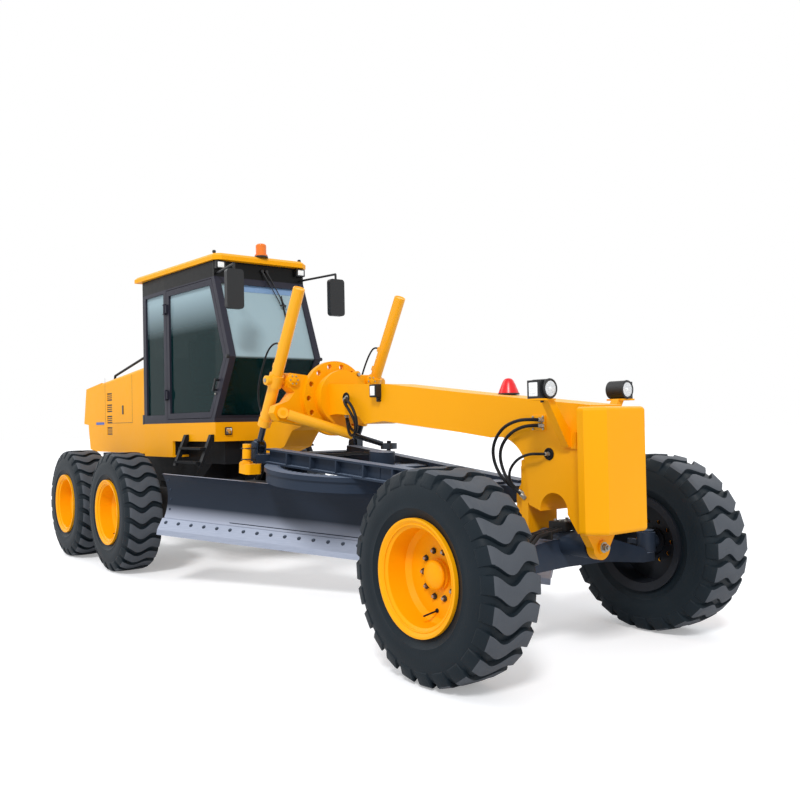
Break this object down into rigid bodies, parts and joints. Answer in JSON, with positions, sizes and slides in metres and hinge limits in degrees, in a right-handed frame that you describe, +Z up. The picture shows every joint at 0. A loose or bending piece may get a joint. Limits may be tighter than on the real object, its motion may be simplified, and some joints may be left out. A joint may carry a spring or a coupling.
{
  "type": "motor grader",
  "caption": "Articulated motor grader with a glazed cab, tandem drive wheels and a yawed blade hung from a circle under its beam.",
  "frame": {"origin": "on the ground, below the middle of the overall length", "axes": "+X forward, +Y to the machine's left, +Z up"},
  "size_m": [9.0603, 2.6438, 3.6181],
  "materials": {
    "yellow_paint": "glossy amber yellow paint",
    "grey_paint": "satin dark grey paint",
    "black_paint": "satin black paint",
    "tyre_rubber": "matt black rubber",
    "glass": "clear tinted glass",
    "bare_steel": "worn bright steel",
    "engine_iron": "cast iron",
    "seat_fabric": "dark woven seat cloth",
    "lamp_plastic": "black moulded housings",
    "beacon_plastic": "translucent amber plastic"
  },
  "bodies": {
    "chassis": {"rear_frame": "black_paint", "rear_axle": "black_paint", "cab_base": "yellow_paint", "cab_shell": "grey_paint", "cab_glass": "glass", "cab_roof": "yellow_paint", "roof_lamps": "lamp_plastic", "beacon": "beacon_plastic", "mirrors": "lamp_plastic", "cab_seat": "seat_fabric", "cab_console": "lamp_plastic", "hood": "yellow_paint", "tail_cowl": "yellow_paint", "engine_block": "engine_iron", "ladders": "black_paint", "handrails": "black_paint"},
    "door_right": {"door_right": "grey_paint", "door_glass_right": "glass"},
    "door_left": {"door_left": "grey_paint", "door_glass_left": "glass"},
    "tandem_right": {"tandem_right": "black_paint"},
    "tandem_left": {"tandem_left": "black_paint"},
    "front_frame": {"front_frame": "yellow_paint", "nose_box": "yellow_paint", "saddle": "yellow_paint", "front_lamps": "lamp_plastic", "lamp_brackets": "yellow_paint"},
    "front_axle": {"front_axle": "grey_paint"},
    "knuckle_right": {"knuckle_right": "grey_paint"},
    "knuckle_left": {"knuckle_left": "grey_paint"},
    "tie_rod": {"tie_rod": "black_paint"},
    "drawbar": {"drawbar": "grey_paint", "circle_drive": "yellow_paint"},
    "circle": {"circle": "grey_paint"},
    "blade_carrier": {"blade_carrier": "grey_paint", "blade_cylinder": "grey_paint"},
    "blade": {"moldboard": "grey_paint", "cutting_edge": "bare_steel", "blade_rod": "bare_steel"},
    "wheel_front_right": {"tyre_front_right": "tyre_rubber", "rim_front_right": "yellow_paint"},
    "wheel_front_left": {"tyre_front_left": "tyre_rubber", "rim_front_left": "yellow_paint"},
    "wheel_middle_right": {"tyre_middle_right": "tyre_rubber", "rim_middle_right": "yellow_paint"},
    "wheel_middle_left": {"tyre_middle_left": "tyre_rubber", "rim_middle_left": "yellow_paint"},
    "wheel_rear_right": {"tyre_rear_right": "tyre_rubber", "rim_rear_right": "yellow_paint"},
    "wheel_rear_left": {"tyre_rear_left": "tyre_rubber", "rim_rear_left": "yellow_paint"},
    "lift_barrel_right": {"lift_barrel_right": "yellow_paint"},
    "lift_rod_right": {"lift_rod_right": "bare_steel"},
    "lift_barrel_left": {"lift_barrel_left": "yellow_paint"},
    "lift_rod_left": {"lift_rod_left": "bare_steel"},
    "shift_barrel": {"shift_barrel": "yellow_paint"},
    "shift_rod": {"shift_rod": "bare_steel"}
  },
  "joints": [
    {"name": "articulation", "type": "hinge", "parent": "chassis", "child": "front_frame", "pos_m": [-0.144, 0, 1.332], "axis": [0, 0, -1], "range_deg": [-25, 25]},
    {"name": "door_right", "type": "hinge", "parent": "chassis", "child": "door_right", "pos_m": [-1.439, -0.64779, 2.4], "axis": [0, 0, -1], "range_deg": [0, 80]},
    {"name": "tandem_right", "type": "hinge", "parent": "chassis", "child": "tandem_right", "pos_m": [-2.363, -0.695, 0.674], "axis": [0, 1, 0], "range_deg": [-15, 15]},
    {"name": "door_left", "type": "hinge", "parent": "chassis", "child": "door_left", "pos_m": [-1.439, 0.64779, 2.4], "axis": [0, 0, 1], "range_deg": [0, 80]},
    {"name": "tandem_left", "type": "hinge", "parent": "chassis", "child": "tandem_left", "pos_m": [-2.363, 0.695, 0.674], "axis": [0, 1, 0], "range_deg": [-15, 15]},
    {"name": "spin_front_right", "type": "hinge", "parent": "knuckle_right", "child": "wheel_front_right", "pos_m": [3.856, -1.1, 0.674], "axis": [0, 1, 0], "continuous": true},
    {"name": "spin_front_left", "type": "hinge", "parent": "knuckle_left", "child": "wheel_front_left", "pos_m": [3.856, 1.1, 0.674], "axis": [0, 1, 0], "continuous": true},
    {"name": "spin_middle_right", "type": "hinge", "parent": "tandem_right", "child": "wheel_middle_right", "pos_m": [-1.594, -1.1, 0.674], "axis": [0, 1, 0], "continuous": true},
    {"name": "spin_middle_left", "type": "hinge", "parent": "tandem_left", "child": "wheel_middle_left", "pos_m": [-1.594, 1.1, 0.674], "axis": [0, 1, 0], "continuous": true},
    {"name": "spin_rear_right", "type": "hinge", "parent": "tandem_right", "child": "wheel_rear_right", "pos_m": [-3.132, -1.1, 0.674], "axis": [0, 1, 0], "continuous": true},
    {"name": "spin_rear_left", "type": "hinge", "parent": "tandem_left", "child": "wheel_rear_left", "pos_m": [-3.132, 1.1, 0.674], "axis": [0, 1, 0], "continuous": true},
    {"name": "axle_swing", "type": "hinge", "parent": "front_frame", "child": "front_axle", "pos_m": [3.931, 0, 0.77], "axis": [1, 0, 0], "range_deg": [-15, 15]},
    {"name": "steering", "type": "hinge", "parent": "front_axle", "child": "knuckle_right", "pos_m": [3.856, -1, 0.674], "axis": [0, 0, 1], "range_deg": [-45, 45]},
    {"name": "steering_left", "type": "hinge", "parent": "front_axle", "child": "knuckle_left", "pos_m": [3.856, 1, 0.674], "axis": [0, 0, 1], "range_deg": [-45, 45]},
    {"name": "tie_rod_swing", "type": "hinge", "parent": "knuckle_right", "child": "tie_rod", "pos_m": [3.711, -1, 0.622], "axis": [0, 0, 1], "range_deg": [-45, 45]},
    {"name": "drawbar_lift", "type": "hinge", "parent": "front_frame", "child": "drawbar", "pos_m": [3.606, 0, 1.04], "axis": [0, 1, 0], "range_deg": [-9, 0]},
    {"name": "circle_turn", "type": "hinge", "parent": "drawbar", "child": "circle", "pos_m": [1.24397, 0, 1.23419], "axis": [0.0819, 0, 0.9966], "continuous": true},
    {"name": "blade_pitch", "type": "hinge", "parent": "circle", "child": "blade_carrier", "pos_m": [1.18295, 0.02587, 0.67732], "axis": [0.8596, 0.506, -0.0707], "range_deg": [-5, 25]},
    {"name": "blade_shift", "type": "slide", "parent": "blade_carrier", "child": "blade", "axis": [0.8596, 0.506, -0.0707], "range_m": [-0.5, 0]},
    {"name": "lift_swing_right", "type": "hinge", "parent": "front_frame", "child": "lift_barrel_right", "pos_m": [0.966, -0.58, 2.043], "axis": [0, 1, 0], "range_deg": [-12, 1]},
    {"name": "lift_stroke_right", "type": "slide", "parent": "lift_barrel_right", "child": "lift_rod_right", "axis": [-0.4853, 0, -0.8744], "range_m": [-0.02, 0.46]},
    {"name": "lift_swing_left", "type": "hinge", "parent": "front_frame", "child": "lift_barrel_left", "pos_m": [0.966, 0.58, 2.043], "axis": [0, 1, 0], "range_deg": [-12, 1]},
    {"name": "lift_stroke_left", "type": "slide", "parent": "lift_barrel_left", "child": "lift_rod_left", "axis": [-0.4853, 0, -0.8744], "range_m": [-0.02, 0.46]},
    {"name": "shift_swing", "type": "hinge", "parent": "front_frame", "child": "shift_barrel", "pos_m": [1.121, -0.6, 1.735], "axis": [0.9197, -0.3927, 0], "range_deg": [-17, 1]},
    {"name": "shift_stroke", "type": "slide", "parent": "shift_barrel", "child": "shift_rod", "axis": [0.3731, 0.8738, -0.3117], "range_m": [-0.02, 0.15]}
  ],
  "couplings": [
    {"joint": "steering_left", "follows": "steering", "ratio": 1},
    {"joint": "tie_rod_swing", "follows": "steering", "ratio": -1},
    {"joint": "lift_swing_right", "follows": "drawbar_lift", "ratio": 1.2326},
    {"joint": "lift_swing_left", "follows": "drawbar_lift", "ratio": 1.2326},
    {"joint": "lift_stroke_right", "follows": "drawbar_lift", "m_per_rad": -2.8143},
    {"joint": "lift_stroke_left", "follows": "drawbar_lift", "m_per_rad": -2.8143},
    {"joint": "shift_swing", "follows": "drawbar_lift", "ratio": 1.775},
    {"joint": "shift_stroke", "follows": "drawbar_lift", "m_per_rad": -0.7842}
  ]
}
